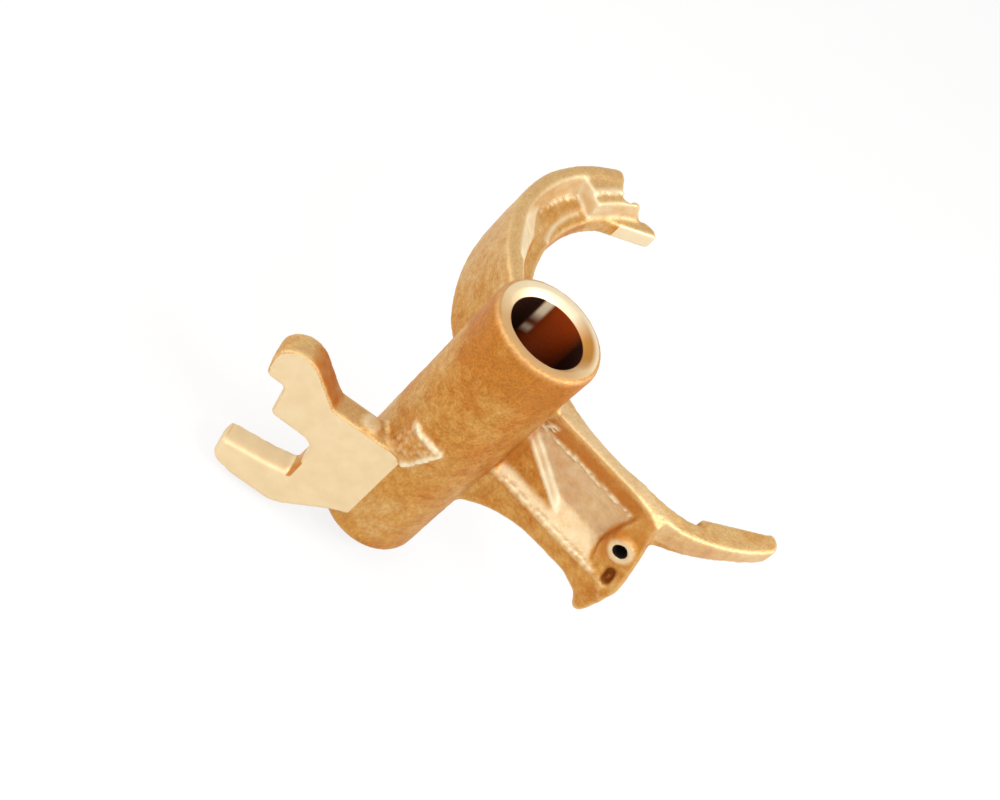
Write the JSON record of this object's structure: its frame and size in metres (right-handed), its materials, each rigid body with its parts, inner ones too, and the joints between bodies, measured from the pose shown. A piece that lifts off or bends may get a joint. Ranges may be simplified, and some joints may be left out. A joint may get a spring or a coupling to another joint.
{
  "type": "transmission shift fork",
  "caption": "Cast bronze gearbox shift fork: a long bored hub carries a crescent of two prongs with machined pads, a slotted selector gate and a webbed lug.",
  "frame": {"origin": "on the axis of the rail bore, level with the middle of the two pads' thickness", "axes": "+Z along the bore towards the prong end of the hub, +X from the bore's axis to the axis of the sleeve, the taller prong on the +Y side"},
  "size_m": [0.1024, 0.0969, 0.0744],
  "materials": {
    "bronze": "as cast and sand textured, with machined pads, gate faces, hub ends and bore"
  },
  "bodies": {
    "root": {"shift_fork": "bronze"}
  },
  "joints": []
}
